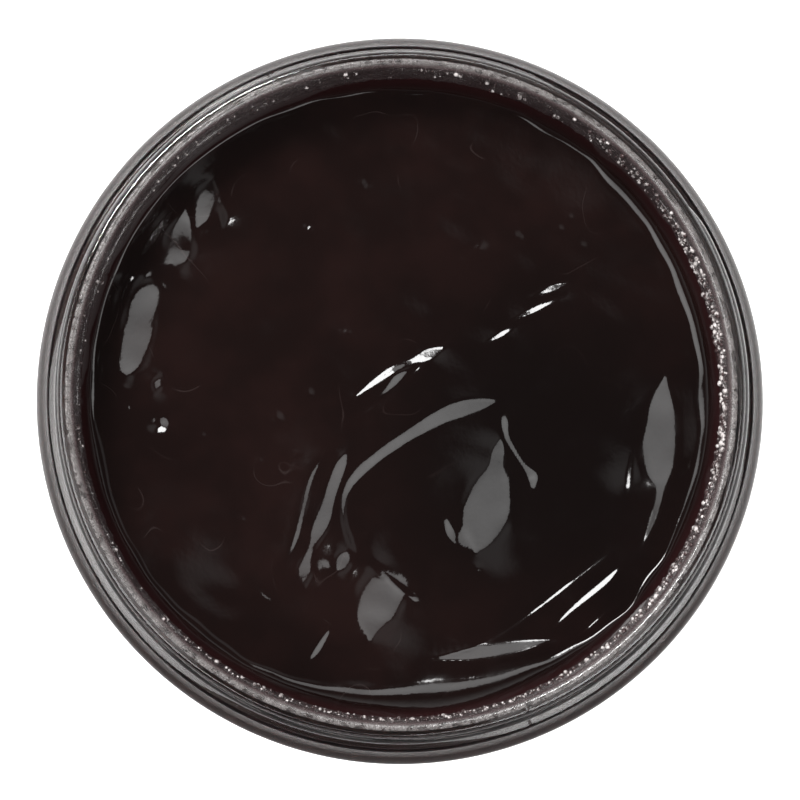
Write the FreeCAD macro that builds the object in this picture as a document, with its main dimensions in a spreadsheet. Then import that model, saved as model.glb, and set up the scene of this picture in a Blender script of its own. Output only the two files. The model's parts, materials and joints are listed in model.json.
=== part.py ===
"""Open glass jar of cream shoe polish, in millimetres, +Z up.

The origin is the centre of the foot ring, on the surface that the jar stands on.
The jar is one moulded piece of clear glass with a screw neck. The cream fills it to
below the bore's mouth, and a film and drops of cream are left on the bore above it.
"""

import FreeCAD, Part

import os
import re

import Sketcher
from FreeCAD import Placement, Rotation, Vector

SHEET = "Sizes"

# Driving dimensions. Each is set by itself; every other size is worked out from them.
SIZES = {
    # glass body
    "body_radius": 32.5,
    "jar_height": 36.0,
    "wall": 2.2,
    "base_thickness": 5.0,
    "heel_radius": 4.0,
    "inner_heel_radius": 3.5,
    "push_up": 1.5,
    "foot_width": 4.5,
    "shoulder_radius": 2.4,
    # glass neck
    "neck_height": 10.5,
    "neck_inset": 3.0,
    "neck_wall": 1.4,
    "root_fillet": 0.4,
    "lip_round": 0.5,
    "bore_drop": 1.2,
    "bead_height": 1.65,
    "bead_half": 0.9,
    "bead_rise": 2.3,
    # glass thread
    "thread_height": 0.7,
    "thread_width": 2.0,
    "thread_pitch": 3.0,
    "thread_turns": 0.8,
    "thread_drop": 3.6,
    "thread_start": 112.0,
    "thread_sink": 0.4,
    # cream
    "headspace": 8.5,
    "meniscus_width": 5.5,
    "meniscus_rise": 2.3,
    "meniscus_sag": 0.6,
    "scoop_depth": 2.6,
    "scoop_roundness": 8.0,
    "scoop_length": 26.0,
    "scoop_breadth": 17.0,
    "scoop_margin": 1.8,
    "scoop_bearing": -41.0,
    "scoop_turn": 40.0,
    "ridge_reach": 42.5,
    "ridge_lap": 1.3,
    "ridge_bearing": -47.0,
    "ridge_tube": 2.4,
    "ridge_rise": 0.8,
    "ridge_from": 103.0,
    "ridge_sweep": 56.0,
    # residue on the bore
    "film": 0.12,
    "film_margin": 0.9,
    "drop_radius": 0.42,
    "drop_proud": 0.3,
    "drop_edge_gap": 0.15,
}

DROP_COUNT = 24
GOLDEN_ANGLE = 137.508

doc = FreeCAD.newDocument("polish_jar")
sheet = doc.addObject("Spreadsheet::Sheet", SHEET)
for row, (alias, value) in enumerate(SIZES.items(), start=1):
    sheet.set(f"A{row}", alias)
    sheet.set(f"B{row}", str(value))
    sheet.setAlias(f"B{row}", alias)
doc.recompute()


def sized(text):
    """Return the expression text with the sheet's name before every alias."""
    def named(match):
        return f"{SHEET}.{match[0]}" if match[0] in SIZES else match[0]
    return re.sub(r"[a-z_]+", named, text)


def value_of(text):
    """Return the present value of an expression on the sheet's aliases."""
    return float(sheet.evalExpression(sized(text)))


def bind(thing, **properties):
    """Bind each property of a document object to an expression on the aliases."""
    for name, text in properties.items():
        thing.setExpression(name.replace("__", "."), sized(text))


def new_body(label):
    """Return an empty PartDesign body at the origin, labelled with its node's name."""
    body = doc.addObject("PartDesign::Body", label)
    body.Label = label
    body.Placement = Placement()
    return body


def plane(body, role):
    """Return one of the body's own origin planes."""
    return next(item for item in body.Origin.OriginFeatures if item.Role == role)


def sketch_on(body, name, role="XZ_Plane"):
    """Return a new sketch of the body on one of its origin planes."""
    sketch = body.newObject("Sketcher::SketchObject", name)
    sketch.AttachmentSupport = [(plane(body, role), "")]
    sketch.MapMode = "FlatFace"
    return sketch


def arc_edge(start, end, radius, left):
    """Return the arc from start to end, and the ends of it that lie there.

    The arc's centre is on the left of the way from start to end when left is true,
    so that the arc turns left.
    """
    chord = end - start
    middle = (start + end) * 0.5
    across = Vector(-chord.y, chord.x, 0).normalize()
    rise = max(radius ** 2 - (chord.Length / 2) ** 2, 0.0) ** 0.5
    centre = middle + across * (rise if left else -rise)
    first, last = (start, end) if left else (end, start)
    angles = []
    for point in (first, last):
        angles.append(Vector(1, 0, 0).getAngle(point - centre))
        if point.y < centre.y:
            angles[-1] = -angles[-1]
    circle = Part.Circle(centre, Vector(0, 0, 1), radius)
    ends = (1, 2) if left else (2, 1)
    return Part.ArcOfCircle(circle, angles[0], angles[1]), ends


def pin_point(sketch, edge, end, name, place):
    """Hold an edge's end at a place, given as two expressions on the aliases."""
    kinds = (("DistanceX", -2), ("DistanceY", -1))
    for (kind, axis), text, letter in zip(kinds, place, "xy"):
        if text == "0":
            sketch.addConstraint(Sketcher.Constraint("PointOnObject", edge, end, axis))
            continue
        rule = Sketcher.Constraint(kind, -1, 1, edge, end, value_of(text))
        index = sketch.addConstraint(rule)
        sketch.renameConstraint(index, f"{name}_{letter}")
        sketch.setExpression(f"Constraints.{name}_{letter}", sized(text))


def draw(sketch, path):
    """Draw a closed outline of lines and arcs, each point and radius tied to the sheet.

    path is a list of (name, x, y) for a straight run to that point, or
    (name, x, y, radius, side) for an arc to it, where side is "left" or "right".
    The first entry is the start, and the last run closes the outline to it.
    """
    places = [Vector(value_of(step[1]), value_of(step[2]), 0) for step in path]
    ends = []
    for index, step in enumerate(path):
        start, end = places[index - 1], places[index]
        if len(step) == 3:
            edge = sketch.addGeometry(Part.LineSegment(start, end), False)
            ends.append((edge, 1, 2))
        else:
            radius = value_of(step[3])
            curve, (head, tail) = arc_edge(start, end, radius, step[4] == "left")
            edge = sketch.addGeometry(curve, False)
            ends.append((edge, head, tail))
            rule = sketch.addConstraint(Sketcher.Constraint("Radius", edge, radius))
            sketch.renameConstraint(rule, f"{step[0]}_radius")
            sketch.setExpression(f"Constraints.{step[0]}_radius", sized(step[3]))
    for index, step in enumerate(path):
        edge, _, tail = ends[index]
        following, head, _ = ends[(index + 1) % len(path)]
        joint = Sketcher.Constraint("Coincident", edge, tail, following, head)
        sketch.addConstraint(joint)
        pin_point(sketch, edge, tail, step[0], step[1:3])


def revolve(body, sketch, name):
    """Add the full turn of a sketch about the body's vertical axis."""
    turned = body.newObject("PartDesign::Revolution", name)
    turned.Profile = sketch
    turned.ReferenceAxis = (sketch, ["V_Axis"])
    turned.Angle = 360
    return turned


# Heights and radii that more than one piece uses, as expressions on the aliases.
FLOOR = "(push_up + base_thickness)"
INNER = "(body_radius - wall)"
NECK = "(body_radius - neck_inset)"
BORE = "(body_radius - neck_inset - neck_wall)"
SHOULDER = "(jar_height - neck_height)"
STEP = "((neck_inset + neck_wall - wall) / 2)"
BORE_FOOT = f"({SHOULDER} - bore_drop)"
BEAD = f"({SHOULDER} + bead_rise)"
FILL = "(jar_height - headspace)"
FILM_INSIDE = f"({BORE} - film)"
FILM_TOP = "(jar_height - lip_round - film_margin)"

# The cavity's wall from the floor's centre to the foot of the bore. The glass and the
# cream share it, so that they meet face to face.
CAVITY = [
    ("floor_edge", f"{INNER} - inner_heel_radius", FLOOR),
    ("heel_top", INNER, f"{FLOOR} + inner_heel_radius", "inner_heel_radius", "left"),
    ("wall_top", INNER, f"{BORE_FOOT} - 2 * {STEP}"),
    ("under_neck", f"{INNER} - {STEP}", f"{BORE_FOOT} - {STEP}", STEP, "left"),
    ("bore_foot", BORE, BORE_FOOT, STEP, "right"),
]


def reversed_run(path, start):
    """Return a run of path steps walked backwards, ending at the start's place."""
    places = [start] + [step[:3] for step in path]
    back = []
    for index in range(len(path) - 1, -1, -1):
        step = path[index]
        place = places[index]
        if len(step) == 3:
            back.append(place)
        else:
            side = "right" if step[4] == "left" else "left"
            back.append((place[0], place[1], place[2], step[3], side))
    return back


def make_glass_jar():
    """Mould the jar: body, push-up, shoulder, neck with bead, lip and helical thread."""
    body = new_body("glass_jar")
    outline = sketch_on(body, "jar_outline")
    dome = "(((body_radius - heel_radius - foot_width)^2 + push_up^2) / (2 * push_up))"
    bead = "((bead_half^2 + bead_height^2) / (2 * bead_height))"
    floor_centre = ("floor_centre", "0", FLOOR)
    outside = [
        ("push_up_top", "0", "push_up"),
        ("foot_inside", "body_radius - heel_radius - foot_width", "0", dome, "right"),
        ("foot_outside", "body_radius - heel_radius", "0"),
        ("heel", "body_radius", "heel_radius", "heel_radius", "left"),
        ("side_top", "body_radius", f"{SHOULDER} - shoulder_radius"),
        ("shoulder_edge", "body_radius - shoulder_radius", SHOULDER, "shoulder_radius", "left"),
        ("ledge", f"{NECK} + root_fillet", SHOULDER),
        ("neck_root", NECK, f"{SHOULDER} + root_fillet", "root_fillet", "right"),
        ("bead_foot", NECK, f"{BEAD} - bead_half"),
        ("bead_crest", f"{NECK} + bead_height", BEAD, bead, "left"),
        ("bead_top", NECK, f"{BEAD} + bead_half", bead, "left"),
        ("neck_top", NECK, "jar_height - lip_round"),
        ("lip_outside", f"{NECK} - lip_round", "jar_height", "lip_round", "left"),
        ("lip_inside", f"{BORE} + lip_round", "jar_height"),
        ("bore_top", BORE, "jar_height - lip_round", "lip_round", "left"),
        ("bore_foot", BORE, BORE_FOOT),
    ]
    draw(outline, outside + reversed_run(CAVITY, floor_centre))
    revolve(body, outline, "jar_turned")

    section = sketch_on(body, "thread_section")
    turn = Rotation(Vector(0, 1, 0), value_of("thread_start"))
    section.AttachmentOffset = Placement(Vector(), turn)
    root = f"{NECK} - thread_sink"
    height = "(thread_height + thread_sink)"
    crest = f"(((thread_width / 2)^2 + {height}^2) / (2 * {height}))"
    start = "(jar_height - thread_drop - thread_pitch * thread_turns)"
    draw(section, [
        ("flank_low", root, f"{start} - thread_width / 2"),
        ("crest", f"{root} + {height}", start, crest, "left"),
        ("flank_high", root, f"{start} + thread_width / 2", crest, "left"),
    ])
    thread = body.newObject("PartDesign::AdditiveHelix", "thread")
    thread.Profile = section
    thread.ReferenceAxis = (section, ["V_Axis"])
    thread.Mode = "pitch-turns-angle"
    bind(thread, Pitch="thread_pitch", Turns="thread_turns")
    return body


def make_polish_cream():
    """Fill the cavity: a meniscus at the glass, a ridge, and the hollow a tool left."""
    body = new_body("polish_cream")
    outline = sketch_on(body, "cream_outline")
    half_chord = "(sqrt(meniscus_width^2 + meniscus_rise^2) / 2)"
    curve = f"(({half_chord}^2 + meniscus_sag^2) / (2 * meniscus_sag))"
    draw(outline, [("floor_centre", "0", FLOOR)] + CAVITY + [
        ("wetted_edge", BORE, f"{FILL} + meniscus_rise"),
        ("meniscus_foot", f"{BORE} - meniscus_width", FILL, curve, "right"),
        ("surface_centre", "0", FILL),
    ])
    revolve(body, outline, "cream_turned")

    level = "((scoop_roundness - scoop_depth) / scoop_roundness)"
    half_breadth = f"(scoop_breadth * sqrt(1 - {level}^2))"
    scoop_offset = f"({BORE} - scoop_margin - {half_breadth})"
    ridge_offset = f"({scoop_offset} - {half_breadth} - ridge_lap + ridge_reach)"
    ridge = body.newObject("PartDesign::AdditiveTorus", "ridge")
    ridge.AttachmentSupport = [(plane(body, "XY_Plane"), "")]
    ridge.MapMode = "FlatFace"
    bind(
        ridge,
        Radius1="ridge_reach",
        Radius2="ridge_tube",
        Angle3="ridge_sweep",
        AttachmentOffset__Base__x=f"{ridge_offset} * cos(ridge_bearing * 1deg)",
        AttachmentOffset__Base__y=f"{ridge_offset} * sin(ridge_bearing * 1deg)",
        AttachmentOffset__Base__z=f"{FILL} + ridge_rise - ridge_tube",
        AttachmentOffset__Rotation__Angle="ridge_from",
    )

    scoop = body.newObject("PartDesign::SubtractiveEllipsoid", "scoop")
    scoop.AttachmentSupport = [(plane(body, "XY_Plane"), "")]
    scoop.MapMode = "FlatFace"
    bind(
        scoop,
        Radius1="scoop_roundness",
        Radius2="scoop_length",
        Radius3="scoop_breadth",
        AttachmentOffset__Base__x=f"{scoop_offset} * cos(scoop_bearing * 1deg)",
        AttachmentOffset__Base__y=f"{scoop_offset} * sin(scoop_bearing * 1deg)",
        AttachmentOffset__Base__z=f"{FILL} + scoop_roundness - scoop_depth",
        AttachmentOffset__Rotation__Angle="scoop_turn",
    )
    return body


def make_wall_smear():
    """Coat the bore with a thin film, from the meniscus to just under the lip's round."""
    body = new_body("wall_smear")
    outline = sketch_on(body, "film_outline")
    low = f"{FILL} + meniscus_rise"
    draw(outline, [
        ("low_inside", FILM_INSIDE, low),
        ("low_outside", BORE, low),
        ("high_outside", BORE, FILM_TOP),
        ("high_inside", FILM_INSIDE, FILM_TOP),
    ])
    revolve(body, outline, "film_turned")
    return body


def make_smear_droplets():
    """Set drops of cream on the film: spheres trimmed by the film's inner face."""
    low = f"({FILL} + meniscus_rise + drop_radius + drop_edge_gap)"
    high = f"({FILM_TOP} - drop_radius - drop_edge_gap)"
    centre = f"({FILM_INSIDE} - drop_proud + drop_radius)"
    drops = []
    for index in range(DROP_COUNT):
        drop = doc.addObject("Part::Sphere", f"drop_{index + 1}")
        angle = (index * GOLDEN_ANGLE) % 360
        share = (index * 7 % DROP_COUNT) / (DROP_COUNT - 1)
        bind(
            drop,
            Radius="drop_radius",
            Placement__Base__x=f"{centre} * cos({angle:.3f} * 1deg)",
            Placement__Base__y=f"{centre} * sin({angle:.3f} * 1deg)",
            Placement__Base__z=f"{low} + ({high} - {low}) * {share:.4f}",
        )
        drops.append(drop)
    spread = doc.addObject("Part::Compound", "drops")
    spread.Links = drops
    inside = doc.addObject("Part::Cylinder", "inside_of_film")
    bind(inside, Radius=FILM_INSIDE, Height="jar_height")
    trimmed = doc.addObject("Part::Common", "smear_droplets")
    trimmed.Base = spread
    trimmed.Tool = inside
    trimmed.Label = "smear_droplets"
    trimmed.Placement = Placement()
    return trimmed


def check(parts):
    """Stop if any object failed, or if a sub-part's shape is missing or not valid."""
    for item in doc.Objects:
        if "Invalid" in item.State or "Error" in item.State:
            raise RuntimeError(f"{item.Label} failed: {item.State}")
    for part in parts:
        if part.Shape.isNull() or not part.Shape.isValid():
            raise RuntimeError(f"{part.Label} has no valid shape")


PARTS = [
    make_glass_jar(),
    make_polish_cream(),
    make_wall_smear(),
    make_smear_droplets(),
]
doc.recompute()
check(PARTS)

os.makedirs("parts", exist_ok=True)
for part in PARTS:
    shape = part.Shape
    box = shape.optimalBoundingBox(False)
    print(
        f"{part.Label}: {len(shape.Solids)} solids, {shape.Volume / 1000:.3f} ml,"
        f" radius {box.XMax:.2f}, z {box.ZMin:.2f} to {box.ZMax:.2f}"
    )
    shape.exportStep(f"parts/{part.Label}.step")
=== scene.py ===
"""Looks of an open glass jar of cream shoe polish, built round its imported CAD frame.

The jar is moulded clear glass with a screw neck. The cream is a glossy dark paste that a
tool has scooped from, and a film and drops of it are left on the bore above the fill.
Sizes in the dataclasses are millimetres; meshes are metres, as the frame is.
"""
import json
import logging
import math
from dataclasses import dataclass
from enum import Enum
from typing import Sequence

import bpy
import numpy as np
from mathutils import Matrix, Vector

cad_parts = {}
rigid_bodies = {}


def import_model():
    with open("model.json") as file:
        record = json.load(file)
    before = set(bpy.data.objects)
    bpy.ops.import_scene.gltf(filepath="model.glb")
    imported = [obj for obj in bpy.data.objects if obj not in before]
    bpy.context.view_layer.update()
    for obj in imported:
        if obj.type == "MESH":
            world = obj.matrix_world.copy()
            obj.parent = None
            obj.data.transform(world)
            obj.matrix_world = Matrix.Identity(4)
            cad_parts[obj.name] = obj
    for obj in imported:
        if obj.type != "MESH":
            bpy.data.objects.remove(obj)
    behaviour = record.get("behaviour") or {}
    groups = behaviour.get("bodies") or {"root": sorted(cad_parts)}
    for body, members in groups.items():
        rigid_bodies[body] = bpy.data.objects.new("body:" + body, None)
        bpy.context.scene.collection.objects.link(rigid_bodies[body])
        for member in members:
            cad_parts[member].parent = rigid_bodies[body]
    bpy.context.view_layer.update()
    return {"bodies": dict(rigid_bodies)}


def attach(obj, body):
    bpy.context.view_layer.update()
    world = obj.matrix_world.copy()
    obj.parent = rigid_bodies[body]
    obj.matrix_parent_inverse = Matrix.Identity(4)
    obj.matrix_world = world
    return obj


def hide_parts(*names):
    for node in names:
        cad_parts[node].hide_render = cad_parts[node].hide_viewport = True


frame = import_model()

MM = 0.001
WELD_OUTLINE = 1e-7
WELD_SPIN = 2e-6
WELD_GRID = 1e-6
NEAR = 0.01
FACET_GAP = 0.02
FACET_EDGE = 5
FACET_NEARNESS = 6.0
ROUND = 28.0
NARROWEST = 0.05
CLIMB_SEED, SMEAR_SEED, SWELL_SEED, WRINKLE_SEED = 31, 8, 11, 12
BLACK = (0.0, 0.0, 0.0)
WHITE = (1.0, 1.0, 1.0)
SPREAD_OF_LENGTHS = (0.7, 1.8)
BODY = next(iter(frame["bodies"]))
Point = tuple[float, float]
Colour = tuple[float, float, float]
log = logging.getLogger("polish_jar")


# ---------------------------------------------------------------- outlines and meshes


def arc(centre: Point, radius: float, start: float, end: float, steps: int) -> list[Point]:
    """Return the points of an arc in an outline.

    Args:
        centre: the arc's centre, as radius from the axis and height.
        radius: the arc's radius.
        start: the angle that it starts at, in degrees.
        end: the angle that it ends at, in degrees.
        steps: how many pieces it is divided into.

    Returns:
        The points from the start to the end, both counted.
    """
    turns = [math.radians(start + (end - start) * i / steps) for i in range(steps + 1)]
    return [(centre[0] + radius * math.cos(a), centre[1] + radius * math.sin(a)) for a in turns]


def run(start: Point, end: Point, steps: int) -> list[Point]:
    """Return the points of a straight run after its start, the end counted."""
    return [
        (start[0] + (end[0] - start[0]) * i / steps, start[1] + (end[1] - start[1]) * i / steps)
        for i in range(1, steps + 1)
    ]


def spin_outline(
    name: str, outline: Sequence[Point], steps: int, closed: bool = False
) -> bpy.types.Object:
    """Extrude an outline point by point and spin it a full turn about the jar's axis.

    Args:
        name: the piece's name.
        outline: points as radius and height, in millimetres.
        steps: how many steps the turn has.
        closed: whether the last point joins the first, as on a ring.

    Returns:
        The spun piece, smooth, with its faces pointing outwards.
    """
    bpy.ops.object.select_all(action="DESELECT")
    first = Vector((outline[0][0] * MM, 0.0, outline[0][1] * MM))
    bpy.ops.mesh.primitive_plane_add(size=MM, location=first)
    piece = bpy.context.object
    piece.name = piece.data.name = name
    bpy.ops.object.transform_apply(location=True, rotation=True, scale=True)
    bpy.ops.object.mode_set(mode="EDIT")
    bpy.ops.mesh.select_all(action="SELECT")
    bpy.ops.mesh.merge(type="CENTER")
    way = list(outline) + ([outline[0]] if closed else [])
    for (r0, z0), (r1, z1) in zip(way, way[1:]):
        move = {"value": ((r1 - r0) * MM, 0.0, (z1 - z0) * MM)}
        bpy.ops.mesh.extrude_region_move(TRANSFORM_OT_translate=move)
    bpy.ops.mesh.select_all(action="SELECT")
    bpy.ops.mesh.remove_doubles(threshold=WELD_OUTLINE)
    bpy.ops.mesh.spin(steps=steps, angle=math.tau, center=(0, 0, 0), axis=(0, 0, 1))
    bpy.ops.mesh.select_all(action="SELECT")
    bpy.ops.mesh.remove_doubles(threshold=WELD_SPIN)
    bpy.ops.mesh.normals_make_consistent(inside=False)
    bpy.ops.object.mode_set(mode="OBJECT")
    bpy.ops.object.shade_smooth()
    return piece


def places(piece: bpy.types.Object) -> np.ndarray:
    """Return the piece's vertices.

    Args:
        piece: the piece that is read.

    Returns:
        Their places in millimetres, one row each.
    """
    found = np.empty(len(piece.data.vertices) * 3)
    piece.data.vertices.foreach_get("co", found)
    return found.reshape(-1, 3) / MM


def set_places(piece: bpy.types.Object, found: np.ndarray) -> None:
    """Put the piece's vertices where the rows of millimetres say."""
    piece.data.vertices.foreach_set("co", (found * MM).ravel())
    piece.data.update()


def ease(value: np.ndarray) -> np.ndarray:
    """Return a smooth rise from 0 to 1 as the value goes from 0 to 1."""
    held = np.clip(value, 0.0, 1.0)
    return held * held * (3.0 - 2.0 * held)


def bearing_gap(angle: np.ndarray, centre: float) -> np.ndarray:
    """Return how far each angle lies from a centre angle, in degrees, from -180 to 180."""
    return (np.degrees(angle) - centre + 180.0) % 360.0 - 180.0


def ripple(x: np.ndarray, y: np.ndarray, size: float, seed: int, waves: int = 14) -> np.ndarray:
    """Return smooth uneven waves over a plane, about -1 to 1.

    Args:
        x: places along the first way.
        y: places along the second way.
        size: the waves' usual length, in the places' units.
        seed: which waves are drawn.
        waves: how many plane waves are added up.

    Returns:
        The height of the waves at each place.
    """
    draw = np.random.default_rng(seed)
    total = np.zeros_like(x)
    for _ in range(waves):
        way = draw.uniform(0.0, math.tau)
        length = size * draw.uniform(*SPREAD_OF_LENGTHS)
        along = x * math.cos(way) + y * math.sin(way)
        total += np.sin(along * math.tau / length + draw.uniform(0.0, math.tau))
    return total / math.sqrt(waves)


# ---------------------------------------------------------------- shader maths


class Wire:
    """A shader value that takes Python's arithmetic, each sum adding its Math node."""

    def __init__(self, bench: "Bench", socket: bpy.types.NodeSocket) -> None:
        """Hold the bench that the value belongs to, and its socket."""
        self.bench = bench
        self.socket = socket

    def _with(self, operation: str, *values: "Wire | float") -> "Wire":
        """Return the result of a Math node on these values."""
        return self.bench.add("ShaderNodeMath", {"operation": operation}, dict(enumerate(values)))

    def __add__(self, other: "Wire | float") -> "Wire":
        """Return the sum."""
        return self._with("ADD", self, other)

    __radd__ = __add__

    def __mul__(self, other: "Wire | float") -> "Wire":
        """Return the product."""
        return self._with("MULTIPLY", self, other)

    __rmul__ = __mul__

    def __sub__(self, other: "Wire | float") -> "Wire":
        """Return the difference."""
        return self._with("SUBTRACT", self, other)

    def __rsub__(self, other: float) -> "Wire":
        """Return the difference from a number."""
        return self._with("SUBTRACT", other, self)

    def __truediv__(self, other: "Wire | float") -> "Wire":
        """Return the quotient."""
        return self._with("DIVIDE", self, other)

    def __pow__(self, other: "Wire | float") -> "Wire":
        """Return the power."""
        return self._with("POWER", self, other)

    def size(self) -> "Wire":
        """Return the value without its sign."""
        return self._with("ABSOLUTE", self)

    def sine(self) -> "Wire":
        """Return the sine of the value in radians."""
        return self._with("SINE", self)

    def angle_to(self, other: "Wire") -> "Wire":
        """Return the angle whose tangent is this value over the other."""
        return self._with("ARCTAN2", self, other)

    def between(self, low: float, high: float) -> "Wire":
        """Return a smooth rise.

        Args:
            low: the value at which the rise is 0.
            high: the value at which it is 1.

        Returns:
            The rise, from 0 to 1.
        """
        settings = {"interpolation_type": "SMOOTHSTEP"}
        sockets = {"Value": self, "From Min": low, "From Max": high}
        return self.bench.add("ShaderNodeMapRange", settings, sockets)


class Bench:
    """One material's node tree, with the few ways that this file adds nodes to it."""

    def __init__(self, name: str, tree: bpy.types.NodeTree | None = None) -> None:
        """Start an empty material, or clear a tree that is there already.

        Args:
            name: the new material's name.
            tree: a tree to clear and use, when no material is wanted.
        """
        if tree is None:
            self.material = bpy.data.materials.new(name)
            self.material.use_nodes = True
            tree = self.material.node_tree
        self.tree = tree
        self.tree.nodes.clear()

    def node(
        self, kind: str, settings: dict | None = None, sockets: dict | None = None
    ) -> bpy.types.Node:
        """Add a node.

        Args:
            kind: the node's type.
            settings: its properties, set first; stops are a ramp's places and colours.
            sockets: its inputs by name or number, each a value or a Wire.

        Returns:
            The node.
        """
        made = self.tree.nodes.new(kind)
        for name, value in (settings or {}).items():
            if name == "stops":
                self._set_stops(made.color_ramp, value)
            else:
                setattr(made, name, value)
        for key, value in (sockets or {}).items():
            if isinstance(value, Wire):
                self.tree.links.new(value.socket, made.inputs[key])
            else:
                made.inputs[key].default_value = value
        return made

    def add(
        self,
        kind: str,
        settings: dict | None = None,
        sockets: dict | None = None,
        output: int | str = 0,
    ) -> Wire:
        """Add a node and return one of its outputs, the first unless another is named."""
        return Wire(self, self.node(kind, settings, sockets).outputs[output])

    @staticmethod
    def _set_stops(ramp: bpy.types.ColorRamp, stops: Sequence[tuple[float, Colour]]) -> None:
        """Give a colour ramp its stops.

        Args:
            ramp: the ramp.
            stops: each stop's place, from 0 to 1, and its colour.
        """
        while len(ramp.elements) < len(stops):
            ramp.elements.new(1.0)
        for element, (place, colour) in zip(ramp.elements, stops):
            element.position = place
            element.color = (*colour, 1.0)

    def here(self) -> Wire:
        """Return the place on the piece, in its own coordinates."""
        return self.add("ShaderNodeTexCoord", output="Object")

    def axes(self) -> tuple[Wire, Wire, Wire]:
        """Return the three coordinates of the place, in metres."""
        split = self.node("ShaderNodeSeparateXYZ", sockets={"Vector": self.here()})
        return tuple(Wire(self, split.outputs[i]) for i in range(3))

    def noise(
        self, size: float, detail: float = 2.0, rough: float = 0.5, where: Wire | None = None
    ) -> Wire:
        """Return uneven noise, about 0 to 1.

        Args:
            size: how far its grains are across, in millimetres.
            detail: how many finer layers it has.
            rough: how strong the finer layers are.
            where: the place that it is read at, when that isn't the piece's own.

        Returns:
            The noise.
        """
        sockets = {
            "Vector": where or self.here(),
            "Scale": 1.0 / (size * MM),
            "Detail": detail,
            "Roughness": rough,
        }
        return self.add("ShaderNodeTexNoise", {"noise_dimensions": "3D"}, sockets)

    def blend(self, share: Wire, low: Colour, high: Colour) -> Wire:
        """Return a colour between two colours."""
        settings = {"stops": [(0.0, low), (1.0, high)]}
        return self.add("ShaderNodeValToRGB", settings, {"Fac": share})

    def over(self, share: Wire, under: Wire, colour: Colour) -> Wire:
        """Return a colour laid over another one.

        Args:
            share: how much of it covers the other, from 0 to 1.
            under: the colour below.
            colour: the colour that is laid over it.

        Returns:
            The mixed colour.
        """
        sockets = {"Factor": share, 6: under, 7: (*colour, 1.0)}
        return self.add("ShaderNodeMix", {"data_type": "RGBA"}, sockets, 2)

    def bump(self, height: Wire, depth: float, under: Wire | None = None) -> Wire:
        """Return a normal bent by a height.

        Args:
            height: the height, from 0 to 1.
            depth: how far that range reaches, in millimetres.
            under: a normal that is bent already.

        Returns:
            The normal.
        """
        sockets = {"Height": height, "Distance": depth * MM, "Strength": 1.0}
        if under:
            sockets["Normal"] = under
        return self.add("ShaderNodeBump", sockets=sockets)

    def finish(self, **sockets: "Wire | float | Colour") -> bpy.types.Material:
        """End the tree in a Principled shader.

        Args:
            sockets: the shader's inputs, their names written with underscores.

        Returns:
            The material.
        """
        named = {}
        for key, value in sockets.items():
            plain = isinstance(value, tuple) and len(value) == 3
            named[key.replace("_", " ")] = (*value, 1.0) if plain else value
        shader = self.add("ShaderNodeBsdfPrincipled", sockets=named)
        self.node("ShaderNodeOutputMaterial", sockets={"Surface": shader})
        return self.material


# ---------------------------------------------------------------- finishes


@dataclass(frozen=True)
class ClearGlass:
    """Polished clear glass with the slight waves, seams and haze of a mould."""

    tint: Colour = (0.978, 0.966, 0.962)
    roughness: float = 0.02
    haze: float = 0.05
    wave_size: float = 9.0
    wave_depth: float = 0.05
    seam_bearing: float = 112.0
    seam_width: float = 0.012
    seam_depth: float = 0.05
    stipple_size: float = 0.5
    stipple_depth: float = 0.08
    foot_height: float = 0.35
    haze_size: float = 3.5
    haze_range: Point = (0.5, 0.8)

    def material(self) -> bpy.types.Material:
        """Make the glass.

        Returns:
            The material.
        """
        bench = Bench("clear_glass")
        x, y, z = bench.axes()
        waves = bench.noise(self.wave_size, 1.0)
        turned = y.angle_to(x) - math.radians(self.seam_bearing)
        seam = 1.0 - turned.sine().size().between(0.0, self.seam_width)
        foot = 1.0 - z.between(0.0, self.foot_height * MM)
        stipple = bench.noise(self.stipple_size, 0.0) * foot
        normal = bench.bump(waves, self.wave_depth)
        normal = bench.bump(seam, self.seam_depth, normal)
        normal = bench.bump(stipple, self.stipple_depth, normal)
        haze = bench.noise(self.haze_size, 3.0).between(*self.haze_range)
        rough = haze * self.haze + self.roughness
        return bench.finish(
            Base_Color=self.tint,
            Roughness=rough,
            Normal=normal,
            IOR=1.5,
            Transmission_Weight=1.0,
        )


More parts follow.
